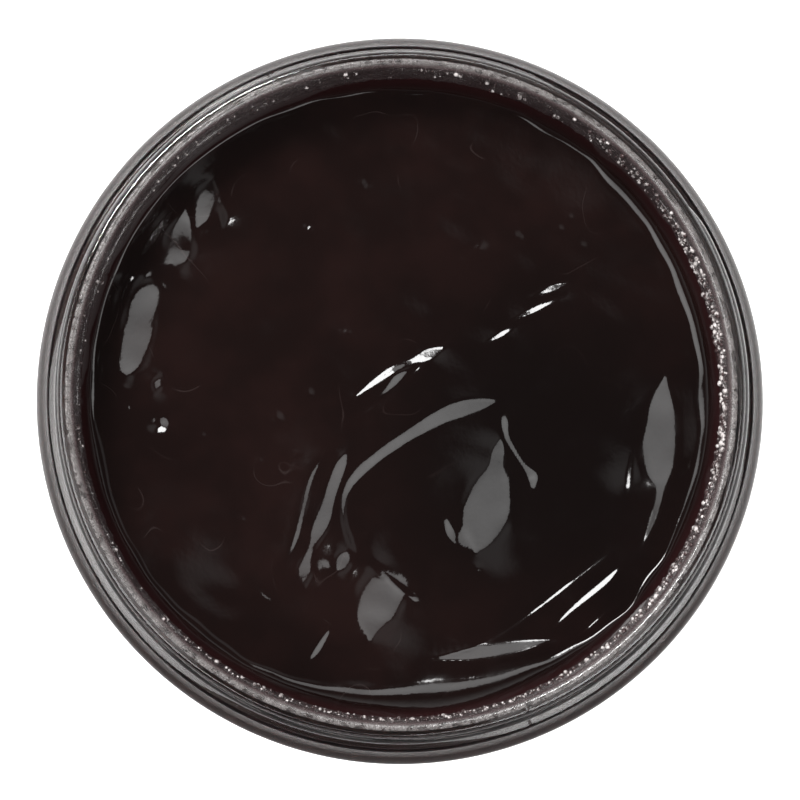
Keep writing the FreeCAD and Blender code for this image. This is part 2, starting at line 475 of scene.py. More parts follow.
@dataclass(frozen=True)
class WaxCream:
    """Glossy dark paste, nearly black where it is deep and burgundy where it thins; painted shade
    darkens it over the scooped hollow.
    """

    deep: Colour = (0.0043, 0.0021, 0.0019)
    warm: Colour = (0.0064, 0.0029, 0.0026)
    cloud_size: float = 7.0
    cloud_range: Point = (0.35, 0.7)
    # Painted shade over the scooped hollow: its colour, its middle, and where it fades out.
    painted_shade: Colour = (0.0024, 0.0014, 0.0013)
    painted_shade_at: Point = (12.5, -4.5)
    painted_shade_from: float = 23.0
    painted_shade_to: float = 5.0
    wisp: Colour = (0.013, 0.0085, 0.0080)
    wisp_size: float = 6.5
    wisp_width: float = 0.006
    wisp_patch: float = 5.0
    wisp_range: Point = (0.52, 0.66)
    wisp_shift: tuple[float, float, float] = (0.11, 0.07, 0.05)
    thin: Colour = (0.019, 0.0065, 0.0070)
    thin_radius: Point = (27.0, 28.2)
    thin_height: Point = (24.0, 28.5)
    thin_share: float = 0.8
    side: Colour = (0.030, 0.0165, 0.0150)
    side_height: Point = (24.3, 24.9)
    side_share: float = 0.9
    roughness: float = 0.06
    dull: float = 0.08
    dull_size: float = 5.0
    dull_range: Point = (0.45, 0.75)
    pores: float = 0.45
    pore_depth: float = 0.006

    def wisps(self, bench: Bench) -> Wire:
        """Work out where fine pale wisps lie, as curling lines in some patches.

        Args:
            bench: the material's bench.

        Returns:
            The wisps, 1 along their lines and 0 elsewhere.
        """
        line = (bench.noise(self.wisp_size, 1.0) - 0.5).size().between(0.0, self.wisp_width)
        sockets = {"Vector": bench.here(), "Location": self.wisp_shift}
        aside = bench.add("ShaderNodeMapping", sockets=sockets)
        patch = bench.noise(self.wisp_patch, 2.0, 0.5, aside).between(*self.wisp_range)
        return (1.0 - line) * patch

    def material(self) -> bpy.types.Material:
        """Make the cream.

        Returns:
            The material.
        """
        bench = Bench("wax_cream")
        x, y, z = bench.axes()
        radius = (x * x + y * y) ** 0.5
        cloud = bench.noise(self.cloud_size, 3.0, 0.6).between(*self.cloud_range)
        colour = bench.blend(cloud, self.deep, self.warm)
        # Painted shade: the colour is darkened over the scooped hollow, fading out away from its
        # middle.
        across, along = x - self.painted_shade_at[0] * MM, y - self.painted_shade_at[1] * MM
        away = (across * across + along * along) ** 0.5
        hollow = 1.0 - away.between(self.painted_shade_to * MM, self.painted_shade_from * MM)
        colour = bench.over(hollow, colour, self.painted_shade)
        colour = bench.over(self.wisps(bench) * (1.0 - hollow), colour, self.wisp)
        above = z.between(*(height * MM for height in self.thin_height))
        edge = radius.between(*(reach * MM for reach in self.thin_radius)) * above
        colour = bench.over(edge * self.thin_share, colour, self.thin)
        flank = 1.0 - z.between(*(height * MM for height in self.side_height))
        colour = bench.over(flank * self.side_share, colour, self.side)
        dull = bench.noise(self.dull_size, 4.0, 0.6).between(*self.dull_range)
        return bench.finish(
            Base_Color=colour,
            Roughness=dull * self.dull + self.roughness,
            Normal=bench.bump(bench.noise(self.pores, 2.0), self.pore_depth),
            IOR=1.34,
        )


@dataclass(frozen=True)
class CreamFilm:
    """A thin uneven coat of the cream on glass: purple-brown, and clearer where it broke."""

    thick: Colour = (0.030, 0.019, 0.020)
    thin: Colour = (0.078, 0.060, 0.060)
    lip_pale: Colour = (0.125, 0.115, 0.112)
    roughness: float = 0.16
    cover: float = 0.62
    patch_size: float = 3.0
    patch_share: float = 0.7
    grain_size: float = 0.35
    grain_share: float = 0.3
    grain_depth: float = 0.06
    lip_height: Point = (35.82, 35.94)
    lip_share: float = 0.9
    lip_cover: float = 0.10
    rag_size: float = 0.9
    rag_cover: float = 0.6

    def material(self) -> bpy.types.Material:
        """Make the film.

        Returns:
            The material.
        """
        bench = Bench("cream_film")
        patches = bench.noise(self.patch_size, 4.0, 0.65).between(0.35, 0.65)
        grain = bench.noise(self.grain_size, 3.0, 0.6)
        share = patches * self.patch_share + grain.between(0.35, 0.7) * self.grain_share
        _, _, z = bench.axes()
        lip = z.between(*(height * MM for height in self.lip_height))
        ragged = bench.noise(self.rag_size, 4.0, 0.7).between(0.40, 0.55)
        colour = bench.blend(share, self.thin, self.thick)
        cover = share * (1.0 - self.cover) + self.cover
        return bench.finish(
            # On the lip's top the film turns pale grey and ragged.
            Base_Color=bench.over(lip * self.lip_share, colour, self.lip_pale),
            Roughness=grain.between(0.3, 0.7) * 0.2 + self.roughness,
            Alpha=cover * (1.0 - lip) + lip * (ragged * self.rag_cover + self.lip_cover),
            Normal=bench.bump(grain, self.grain_depth),
        )


@dataclass(frozen=True)
class CreamBead:
    """A small wet drop of the cream, its pale patches painted glints."""

    dark: Colour = (0.045, 0.028, 0.028)
    # The pale colour is a painted glint, laid on in patches.
    pale: Colour = (0.52, 0.48, 0.47)
    glint_patch_size: float = 0.9
    glint_patch_range: Point = (0.45, 0.62)
    roughness: float = 0.12
    grain_size: float = 0.12
    grain_depth: float = 0.02

    def material(self) -> bpy.types.Material:
        """Make the drops' finish.

        Returns:
            The material.
        """
        bench = Bench("cream_bead")
        # Patches of painted glint in the drops' colour.
        share = bench.noise(self.glint_patch_size, 2.0).between(*self.glint_patch_range)
        grain = bench.noise(self.grain_size, 2.0)
        return bench.finish(
            Base_Color=bench.blend(share, self.dark, self.pale),
            Roughness=grain * 0.1 + self.roughness,
            Normal=bench.bump(grain, self.grain_depth),
        )


@dataclass(frozen=True)
class PaleFloor:
    """A plain near-white studio floor that glows a little; its glow is cut off under the jar as a
    painted contact shadow.
    """

    tone: float = 0.86
    blotch: float = 0.01
    blotch_size: float = 400.0
    glow: float = 0.92
    shade_from: float = 25.0
    shade_to: float = 32.0

    def material(self) -> bpy.types.Material:
        """Make the floor's finish.

        Returns:
            The material.
        """
        bench = Bench("pale_floor")
        x, y, _ = bench.axes()
        tone = bench.noise(self.blotch_size, 1.0) * self.blotch + self.tone
        # Painted contact shadow: the glow fades to none under the jar.
        away = ((x * x + y * y) ** 0.5).between(self.shade_from * MM, self.shade_to * MM)
        return bench.finish(
            Base_Color=bench.add("ShaderNodeCombineColor", sockets={0: tone, 1: tone, 2: tone}),
            Roughness=0.6,
            Emission_Color=bench.blend(away, BLACK, WHITE),
            Emission_Strength=self.glow,
        )


# ---------------------------------------------------------------- the jar


@dataclass
class GlassJar:
    """The moulded glass jar: push-up, heel, side, shoulder, neck, bead, thread and lip."""

    radius: float = 32.5
    height: float = 36.0
    wall: float = 2.2
    base: float = 5.0
    heel: float = 4.0
    inner_heel: float = 3.5
    push_up: float = 1.5
    foot: float = 4.5
    shoulder: float = 2.4
    neck_height: float = 10.5
    neck_inset: float = 3.0
    neck_wall: float = 1.4
    root_fillet: float = 0.4
    lip_round: float = 0.5
    lip_drop: float = 0.07
    bore_drop: float = 1.2
    bead_height: float = 1.65
    bead_half: float = 0.9
    bead_rise: float = 2.3
    bead_top: tuple[Point, ...] = (
        (1.64, 0.12),
        (1.59, 0.22),
        (1.50, 0.29),
        (1.35, 0.36),
        (1.15, 0.435),
        (0.90, 0.51),
        (0.60, 0.58),
        (0.30, 0.63),
        (0.0, 0.67),
    )
    thread_height: float = 0.7
    thread_half: float = 1.0
    thread_pitch: float = 3.0
    thread_turns: float = 0.8
    thread_drop: float = 3.6
    thread_start: float = 112.0
    thread_fade: float = 12.0
    dome_steps: int = 12
    steps: int = 360

    @property
    def neck(self) -> float:
        """The neck's outer radius."""
        return self.radius - self.neck_inset

    @property
    def bore(self) -> float:
        """The bore's radius."""
        return self.neck - self.neck_wall

    @property
    def inner(self) -> float:
        """The cavity's radius below the neck."""
        return self.radius - self.wall

    @property
    def floor(self) -> float:
        """The height of the cavity's floor."""
        return self.push_up + self.base

    @property
    def ledge(self) -> float:
        """The height of the shoulder."""
        return self.height - self.neck_height

    @property
    def lip_z(self) -> float:
        """The height at which the lip's rounding starts."""
        return self.height - self.lip_drop - self.lip_round

    def cavity(self, grown: float = 0.0) -> list[Point]:
        """Return the cavity's wall from the floor's centre to the foot of the bore.

        Args:
            grown: how far the wall is moved into the glass.

        Returns:
            The outline's points.
        """
        inner = self.inner + grown
        bore = self.bore + grown
        step = (inner - bore) / 2
        foot = self.ledge - self.bore_drop
        floor = self.floor - grown
        heel_centre = (inner - self.inner_heel, floor + self.inner_heel)
        return (
            [(0.0, floor)]
            + run((0.0, floor), (heel_centre[0], floor), 1)
            + arc(heel_centre, self.inner_heel, -90, 0, 5)[1:]
            + run((inner, heel_centre[1]), (inner, foot - 2 * step), 1)
            + arc((inner - step, foot - 2 * step), step, 0, 90, 3)[1:]
            + arc((inner - step, foot), step, 270, 180, 3)[1:]
        )

    def outline(self) -> list[Point]:
        """Draw the jar's outline from the push-up's top round to the cavity's floor.

        Returns:
            The outline's points, as radius and height.
        """
        foot_in = self.radius - self.heel - self.foot
        foot_out = self.radius - self.heel
        shares = [i / self.dome_steps for i in range(self.dome_steps + 1)]
        dome = [(foot_in * share, self.push_up * (1 - share**2)) for share in shares]
        shoulder_centre = (self.radius - self.shoulder, self.ledge - self.shoulder)
        bead_radius = (self.bead_half**2 + self.bead_height**2) / (2 * self.bead_height)
        bead_z = self.ledge + self.bead_rise
        bead_centre = (self.neck + self.bead_height - bead_radius, bead_z)
        opening = math.degrees(math.atan2(self.bead_half, self.neck - bead_centre[0]))
        neck, lip_z, root = self.neck, self.lip_z, self.root_fillet
        return (
            dome
            + run((foot_in, 0.0), (foot_out, 0.0), 4)
            + arc((foot_out, self.heel), self.heel, -90, 0, 10)[1:]
            + run((self.radius, self.heel), (self.radius, shoulder_centre[1]), 8)
            + arc(shoulder_centre, self.shoulder, 0, 90, 12)[1:]
            + arc((neck + root, self.ledge + root), root, 270, 180, 4)
            + arc(bead_centre, bead_radius, -opening, 0, 7)
            + [(neck + out, bead_z + up) for out, up in self.bead_top]
            + run((neck, bead_z + self.bead_top[-1][1]), (neck, lip_z), 44)
            + arc((neck - self.lip_round, lip_z), self.lip_round, 0, 90, 8)[1:]
            + arc((self.bore + self.lip_round, lip_z), self.lip_round, 90, 180, 8)
            + run((self.bore, lip_z), (self.bore, self.ledge - self.bore_drop), 16)[:-1]
            + self.cavity()[::-1]
        )

    def raise_thread(self, piece: bpy.types.Object) -> None:
        """Raise the right-hand helical thread from the neck's outer wall.

        Args:
            piece: the spun jar.
        """
        found = places(piece)
        radius = np.hypot(found[:, 0], found[:, 1])
        turn = (np.degrees(np.arctan2(found[:, 1], found[:, 0])) - self.thread_start) % 360.0
        span = self.thread_turns * 360.0
        start_z = self.height - self.thread_drop - self.thread_pitch * self.thread_turns
        offset = found[:, 2] - (start_z + self.thread_pitch * turn / 360.0)
        fade = ease(turn / self.thread_fade) * ease((span - turn) / self.thread_fade)
        round_top = np.sqrt(np.clip(1.0 - (offset / self.thread_half) ** 2, 0.0, 1.0))
        rise = self.thread_height * round_top * fade
        low = self.ledge + self.bead_rise + self.bead_top[-1][1]
        on_neck = (np.abs(radius - self.neck) < NEAR) & (found[:, 2] > low)
        on_neck &= found[:, 2] < self.lip_z
        grown = np.where(on_neck, 1.0 + rise / np.maximum(radius, 1.0), 1.0)
        found[:, :2] *= grown[:, None]
        set_places(piece, found)

    def build(self) -> bpy.types.Object:
        """Spin the jar, raise its thread and dress it.

        Returns:
            The finished jar.
        """
        piece = spin_outline("glass_jar_moulded", self.outline(), self.steps)
        self.raise_thread(piece)
        piece.data.materials.append(ClearGlass().material())
        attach(piece, BODY)
        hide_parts("glass_jar")
        log.info("%s: %d faces", piece.name, len(piece.data.polygons))
        return piece


# ---------------------------------------------------------------- the cream


def smooth_path(points: Sequence[Sequence[float]], per_span: int = 5) -> np.ndarray:
    """Return a smooth line through points, one row each.

    Args:
        points: the places that it passes, each with any further values to smooth.
        per_span: how many pieces lie between two places.

    Returns:
        The line's points.
    """
    held = [points[0], *points, points[-1]]
    line = []
    for p0, p1, p2, p3 in zip(held, held[1:], held[2:], held[3:]):
        a, b, c, d = (np.array(p, float) for p in (p0, p1, p2, p3))
        for i in range(per_span):
            t = i / per_span
            square = (2 * a - 5 * b + 4 * c - d) * t**2
            cube = (3 * b - a - 3 * c + d) * t**3
            line.append(0.5 * (2 * b + (c - a) * t + square + cube))
    line.append(np.array(points[-1], float))
    return np.array(line)


@dataclass(frozen=True)
class Facet:
    """A smooth slope along a path, with level cream above it and below it.

    Attributes:
        path: places along its middle, each with the slope's width there, in millimetres.
            The cream is high on the left of the path and low on the right.
        fall: how much it falls for each millimetre of its width.
        settle: how far away from it the cream is back at its level, in millimetres.
        raised: how much of its height stands above the level, the rest lying below it.
    """

    path: tuple[tuple[float, float, float], ...]
    fall: float = 0.30
    settle: float = 6.0
    raised: float = 0.5

    def lift(self, x: np.ndarray, y: np.ndarray) -> np.ndarray:
        """Work out how much the slope lifts each place.

        Args:
            x: the places' first coordinates, in millimetres.
            y: their second coordinates.

        Returns:
            The lift, in millimetres. Spans of the path share it by their nearness.
        """
        line = smooth_path(self.path)
        total = np.zeros_like(x)
        weights = np.zeros_like(x)
        for (ax, ay, aw), (bx, by, bw) in zip(line, line[1:]):
            dx, dy = bx - ax, by - ay
            long = math.hypot(dx, dy)
            t = np.clip(((x - ax) * dx + (y - ay) * dy) / long**2, 0.0, 1.0)
            gap = np.hypot(x - ax - t * dx, y - ay - t * dy) + FACET_GAP
            side = (dx * (y - ay) - dy * (x - ax)) / long / gap
            half = np.maximum(aw + (bw - aw) * t, 0.0) / 2.0
            across = gap / np.maximum(half, 1e-3)
            bent = np.tanh(across**FACET_EDGE) ** (1 / FACET_EDGE)
            away = np.maximum(gap - half, 0.0) / self.settle
            weight = gap**-FACET_NEARNESS
            tilt = side * bent + 2.0 * self.raised - 1.0
            total += weight * half * tilt * np.exp(-(away**2))
            weights += weight
        return self.fall * total / weights


@dataclass(frozen=True)
class Lump:
    """A round or oval rise or dent.

    Attributes:
        centre: its middle, in millimetres.
        height: its height, or its depth where that is negative.
        length: its half length.
        breadth: its half breadth.
        turn: the bearing of its length, in degrees.
    """

    centre: Point
    height: float
    length: float
    breadth: float
    turn: float = 0.0

    def lift(self, x: np.ndarray, y: np.ndarray) -> np.ndarray:
        """Work out how much the lump lifts each place.

        Args:
            x: the places' first coordinates, in millimetres.
            y: their second coordinates.

        Returns:
            The lift, in millimetres.
        """
        a = math.radians(self.turn)
        dx, dy = x - self.centre[0], y - self.centre[1]
        u = (dx * math.cos(a) + dy * math.sin(a)) / self.length
        v = (dy * math.cos(a) - dx * math.sin(a)) / self.breadth
        return self.height * np.exp(-(u * u + v * v))


@dataclass(frozen=True)
class Stretch:
    """A stretch of the wall where the cream's climb starts nearer to the glass or further in.

    Attributes:
        bearing: its middle, in degrees.
        breadth: its half breadth, in degrees.
        shift: how much nearer to the glass the climb starts there, in millimetres.
    """

    bearing: float
    breadth: float
    shift: float

    def share(self, angle: np.ndarray) -> np.ndarray:
        """Return how much each angle, in radians, belongs to the stretch."""
        return np.exp(-((bearing_gap(angle, self.bearing) / self.breadth) ** 2))


@dataclass
class PolishCream:
    """The fill of cream, its surface shaped by a wall of cream, a scoop, folds and dents."""

    jar: GlassJar
    level: float = 27.5
    wetting: float = 0.04
    cells: int = 280
    edge_height: float = 29.7
    climb_start: float = 26.5
    climb_power: float = 2.4
    climb_ripple: float = 0.22
    climb_ripple_size: float = 5.0
    front: Stretch = Stretch(276.0, 22.0, -2.6)
    right: Stretch = Stretch(14.0, 26.0, -0.8)
    back: Stretch = Stretch(138.0, 44.0, 1.0)
    turn: Stretch = Stretch(318.0, 15.0, 0.6)
    smear_bearing: float = 158.0
    smear_breadth: float = 27.0
    smear_radius: float = 25.9
    smear_fade: float = 0.6
    smear_gap: float = 0.2
    smear_slope: float = 0.18
    smear_length: float = 7.0
    smear_size: float = 1.1
    smear_ripple: float = 0.026
    calm_radius: float = 24.0
    calm_fade: float = 4.0
    swell: float = 0.035
    swell_size: float = 9.0
    wrinkle: float = 0.010
    wrinkle_size: float = 3.2

    def folds(self) -> list[Facet]:
        """List the smooth slopes on the surface.

        Returns:
            The slopes, from the back left round to the front.
        """
        return [
            # The lumps that stand off the wall at the back left.
            Facet((
                (-23.9, 2.1, 0.9), (-23.8, 3.0, 2.7), (-23.5, 4.2, 3.3), (-23.1, 6.0, 3.4),
                (-22.7, 8.0, 3.1), (-22.3, 9.8, 2.6), (-22.2, 10.6, 0.8),
            ), fall=0.30, settle=3.2, raised=0.75),
            Facet((
                (-19.4, 11.9, 1.2), (-19.5, 12.8, 3.0), (-19.5, 13.9, 3.0), (-19.2, 15.2, 1.6),
                (-18.9, 16.8, 0.3),
            ), fall=0.30, settle=3.0, raised=0.7),
            Facet((
                (-17.9, 15.1, 0.3), (-17.5, 16.1, 1.8), (-17.2, 17.1, 2.2), (-16.9, 18.2, 2.0),
                (-16.6, 19.2, 0.3),
            ), fall=0.30, settle=3.0, raised=0.7),
            Facet((
                (-15.7, 15.0, 0.1), (-15.6, 16.0, 0.8), (-15.9, 17.0, 0.5), (-16.0, 18.0, 0.1),
            ), fall=0.30, settle=2.0, raised=0.2),
            Facet((
                (-21.6, 0.3, 0.2), (-21.5, 1.0, 1.1), (-21.2, 1.6, 0.9), (-21.1, 2.1, 0.1),
            ), fall=0.30, settle=2.0),
            # The rim that the tool pushed up.
            Facet((
                (3.6, 4.35, 0.4), (2.5, 3.85, 1.2), (1.3, 3.35, 0.8), (0.0, 2.75, 0.7),
                (-1.2, 2.1, 0.6), (-2.5, 1.2, 0.55), (-3.8, 0.2, 0.4),
            ), fall=0.27, settle=2.0),
            Facet(((2.1, 2.95, 0.1), (1.5, 2.5, 0.4), (0.7, 1.75, 0.1)), fall=0.27, settle=1.5),
            Facet((
                (-1.9, -0.3, 0.1), (-2.7, -1.0, 0.35), (-3.5, -1.6, 0.1),
            ), fall=0.27, settle=1.5),
            Facet((
                (-2.3, -0.3, 0.1), (-1.1, 0.8, 0.5), (-0.2, 1.8, 0.9), (0.7, 2.4, 0.2),
            ), fall=0.30, settle=1.5),
            Facet(((14.9, 10.2, 0.2), (13.4, 9.7, 0.8), (11.9, 9.0, 0.3)), fall=0.27, settle=2.0),
            Facet(((14.5, 8.95, 0.2), (12.2, 7.95, 0.7), (9.8, 6.8, 0.2)), fall=0.27, settle=2.0),
            Facet(((10.1, 6.3, 0.1), (9.0, 5.65, 0.6), (7.6, 4.85, 0.2)), fall=0.27, settle=2.0),
            # The two steps down from the rim to the hollow, and the line above them.
            Facet((
                (-8.4, -16.7, 0.2), (-8.45, -15.4, 1.9), (-8.2, -14.2, 1.1), (-7.8, -13.2, 1.1),
                (-7.4, -12.1, 1.4), (-6.95, -11.0, 1.7), (-6.6, -10.0, 1.5), (-6.3, -9.0, 1.2),
                (-5.75, -7.2, 1.2), (-5.2, -5.8, 1.1), (-4.8, -4.9, 0.2),
            ), fall=0.31, settle=3.5),
            Facet((
                (-3.9, -13.9, 0.1), (-4.5, -12.4, 0.5), (-4.9, -11.2, 0.6), (-5.05, -9.8, 0.55),
                (-4.85, -8.4, 0.7), (-3.9, -6.9, 0.95), (-2.1, -5.3, 0.85), (-0.3, -4.0, 0.95),
                (1.6, -2.8, 1.1), (3.6, -1.65, 1.3), (5.4, -0.95, 1.5), (7.0, -0.6, 1.0),
                (8.5, -0.3, 0.1),
            ), fall=0.30, settle=5.0),
            Facet((
                (-10.0, -14.3, 0.2), (-9.2, -12.4, 0.65), (-8.6, -10.0, 0.65),
                (-7.9, -7.2, 0.65), (-6.7, -4.9, 0.2),
            ), fall=0.30, settle=1.2, raised=0.7),
            # The hump on the hollow's floor, and the small folds beside it.
            Facet((
                (6.7, -13.5, 0.3), (7.0, -12.6, 2.4), (7.3, -11.4, 4.1), (7.6, -10.0, 4.9),
                (7.9, -8.6, 4.4), (8.2, -7.2, 3.2), (8.4, -6.2, 1.6), (8.55, -5.3, 1.3),
                (8.7, -4.5, 1.2), (8.8, -3.7, 0.3),
            ), fall=0.29, settle=5.0),
            Facet((
                (4.1, -11.1, 0.4), (4.4, -11.9, 0.8), (4.9, -12.8, 0.3),
            ), fall=0.30, settle=1.5),
            Facet((
                (9.2, -2.1, 0.8), (9.3, -3.2, 0.7), (9.8, -4.2, 0.4), (10.5, -5.4, 0.4),
                (11.2, -6.3, 0.5), (11.7, -7.0, 1.0), (11.6, -7.9, 0.1),
            ), fall=0.30, settle=2.0),
            # The heap at the front of the two steps.
            Facet((
                (-2.6, -20.9, 0.6), (-2.45, -19.6, 3.0), (-2.1, -18.5, 4.2), (-1.75, -17.3, 4.6),
                (-1.4, -16.5, 4.0), (-1.2, -16.1, 0.3),
            ), fall=0.28, settle=5.0),
            Facet((
                (-2.9, -14.1, 0.3), (-1.6, -15.2, 0.6), (-0.1, -16.4, 0.55), (1.1, -17.45, 0.6),
                (1.5, -17.8, 0.1),
            ), fall=0.32, settle=1.2),
            Facet((
                (-5.6, -15.4, 0.2), (-5.3, -14.8, 1.7), (-5.0, -14.1, 1.7), (-4.7, -13.5, 0.2),
            ), fall=0.30, settle=1.5),
            Facet((
                (-8.1, -23.2, 0.1), (-7.4, -22.3, 0.5), (-6.9, -21.5, 0.5), (-6.4, -20.7, 0.3),
            ), fall=0.30, settle=2.0),
            Facet((
                (-12.7, -16.7, 0.1), (-11.6, -17.7, 0.3), (-9.9, -18.3, 0.1),
            ), fall=0.30, settle=1.5),
            Facet((
                (-11.2, -17.0, 0.1), (-11.1, -16.2, 0.3), (-10.8, -15.4, 0.1),
            ), fall=0.30, settle=1.5),
            # The hollow's right border.
            Facet((
                (23.45, 2.3, 0.1), (23.3, 1.3, 0.8), (23.15, 0.2, 1.8), (23.05, -1.0, 2.6),
                (22.95, -2.2, 3.1), (22.85, -4.0, 3.5), (22.75, -5.8, 3.6), (22.8, -6.9, 2.4),
                (22.9, -7.8, 1.0), (22.7, -9.2, 0.7), (22.1, -11.0, 0.7), (21.4, -12.8, 0.2),
            ), fall=0.31, settle=4.0, raised=0.4),
            Facet((
                (20.5, -4.8, 0.1), (20.2, -6.6, 0.45), (20.05, -8.4, 0.1),
            ), fall=0.30, settle=1.0),
            # The hollow's front border.
            Facet((
                (18.0, -14.0, 0.2), (15.0, -16.3, 0.35), (12.4, -18.3, 0.3), (9.2, -20.6, 0.2),
                (6.0, -22.2, 0.2), (3.0, -22.7, 0.1),
            ), fall=0.26, settle=2.0),
            Facet((
                (19.0, -15.2, 0.3), (17.9, -16.3, 0.6), (15.0, -18.7, 0.55), (13.5, -20.2, 0.1),
            ), fall=0.26, settle=2.0),
            Facet((
                (13.2, -21.3, 0.2), (10.8, -21.8, 1.0), (8.4, -22.2, 1.3), (6.0, -22.6, 1.1),
                (3.0, -23.0, 0.2),
            ), fall=0.36, settle=3.0, raised=0.35),
            Facet((
                (18.5, -18.4, 0.1), (17.0, -19.8, 0.3), (15.6, -21.0, 0.1),
            ), fall=0.26, settle=1.5),
        ]

    def dents(self) -> list[Lump]:
        """List the broad hollow, the soft bank and the small bubbles, drops and pits.

        Returns:
            The lumps, the broad ones first.
        """
        return [
            Lump((10.0, -9.0), -0.7, 15.0, 11.0, 42.0),
            Lump((-20.0, -17.6), 0.80, 6.5, 5.2, 130.0),
            Lump((-21.35, -2.35), -0.211, 0.8, 0.7),
            Lump((-23.6, -0.8), 0.062, 0.45, 0.28, 90.0),
            Lump((-24.3, 0.8), 0.050, 0.3, 0.25),
            Lump((-17.5, -3.4), 0.062, 0.3, 0.3),
            Lump((-10.9, -1.8), 0.099, 0.6, 0.4, 130.0),
            Lump((-8.1, 0.3), 0.087, 0.45, 0.35, 120.0),
            Lump((-12.5, -5.6), 0.062, 0.3, 0.3),
            Lump((-9.1, -4.9), 0.050, 0.25, 0.25),
            Lump((-9.4, -6.1), 0.050, 0.28, 0.28),
            Lump((-14.0, -10.8), 0.050, 0.3, 0.3),
            Lump((6.7, -15.0), 0.074, 0.4, 0.35),
            Lump((-3.5, 18.9), 0.056, 0.3, 0.3),
            Lump((-2.8, 18.9), -0.056, 0.3, 0.3),
            Lump((-8.2, 15.3), -0.062, 0.35, 0.3),
            Lump((-8.0, 14.7), 0.043, 0.25, 0.25),
            Lump((-5.1, 6.1), -0.050, 0.3, 0.3),
            Lump((-4.7, 5.7), 0.050, 0.3, 0.3),
            Lump((6.9, 13.1), 0.087, 0.6, 0.4, 40.0),
            Lump((10.1, 14.3), 0.056, 0.35, 0.3),
            Lump((10.9, 14.4), -0.043, 0.25, 0.25),
            Lump((14.0, 14.9), 0.056, 0.3, 0.3),
            Lump((16.0, 13.4), 0.050, 0.3, 0.25),
            Lump((14.9, 15.9), 0.043, 0.25, 0.25),
            Lump((-17.4, 14.4), 0.074, 0.4, 0.3, 60.0),
            Lump((-20.6, 10.0), 0.074, 0.5, 0.3, 140.0),
        ]

    def wall_rise(self, radius: np.ndarray, angle: np.ndarray) -> np.ndarray:
        """Work out how far the cream climbs towards the bore at each place.

        Args:
            radius: distance from the axis.
            angle: bearing round the axis, in radians.

        Returns:
            The rise above the level.
        """
        start = self.climb_start
        for stretch in (self.front, self.right, self.back, self.turn):
            start = start + stretch.shift * stretch.share(angle)
        uneven = ripple(
            ROUND * np.cos(angle), ROUND * np.sin(angle), self.climb_ripple_size, CLIMB_SEED
        )
        start = start + self.climb_ripple * (1.0 - self.back.share(angle)) * uneven
        share = np.clip((radius - start) / (self.jar.bore - start), 0.0, 1.2)
        return (self.edge_height - self.level) * share**self.climb_power

    def smears(self, radius: np.ndarray, angle: np.ndarray) -> np.ndarray:
        """Return how far streaks by the wall at the back left lift each place.

        Args:
            radius: distance from the axis.
            angle: bearing round the axis, in radians.

        Returns:
            The lift, in millimetres.
        """
        near = np.exp(-((bearing_gap(angle, self.smear_bearing) / self.smear_breadth) ** 4))
        near = near * ease((radius - self.smear_radius) / self.smear_fade)
        foot = self.smear_radius + self.smear_gap
        slope = self.smear_slope * np.maximum(radius - foot, 0.0)
        streaks = ripple(angle * self.smear_length, radius, self.smear_size, SMEAR_SEED)
        return near * (slope + self.smear_ripple * streaks)

    def surface(self, x: np.ndarray, y: np.ndarray) -> np.ndarray:
        """Work out the surface's height.

        Args:
            x: the places' first coordinates, in millimetres.
            y: their second coordinates.

        Returns:
            The height at each place, in millimetres.
        """
        radius = np.hypot(x, y)
        angle = np.arctan2(y, x)
        height = self.level + self.wall_rise(radius, angle) + self.smears(radius, angle)
        for mark in [*self.folds(), *self.dents()]:
            height = height + mark.lift(x, y)
        calm = 1.0 - ease((radius - self.calm_radius) / self.calm_fade)
        height = height + self.swell * calm * ripple(x, y, self.swell_size, SWELL_SEED)
        return height + self.wrinkle * calm * ripple(x, y, self.wrinkle_size, WRINKLE_SEED)

    def build(self) -> bpy.types.Object:
        """Make the fill, a fine round grid with its side drawn down to the base.

        Returns:
            The finished fill.
        """
        bpy.ops.object.select_all(action="DESELECT")
        bpy.ops.mesh.primitive_grid_add(
            x_subdivisions=self.cells, y_subdivisions=self.cells, size=2 * MM
        )
        piece = bpy.context.object
        piece.name = piece.data.name = "cream_fill"
        rim = self.jar.bore + self.wetting
        side = self.jar.cavity(self.wetting)[::-1]
        bpy.ops.object.mode_set(mode="EDIT")
        bpy.ops.mesh.select_all(action="SELECT")
        bpy.ops.mesh.region_to_loop()
        for step in range(1, len(side)):
            move = {"value": (0.0, 0.0, -step * MM)}
            bpy.ops.mesh.extrude_edges_move(TRANSFORM_OT_translate=move)
        bpy.ops.object.mode_set(mode="OBJECT")
        found = places(piece)
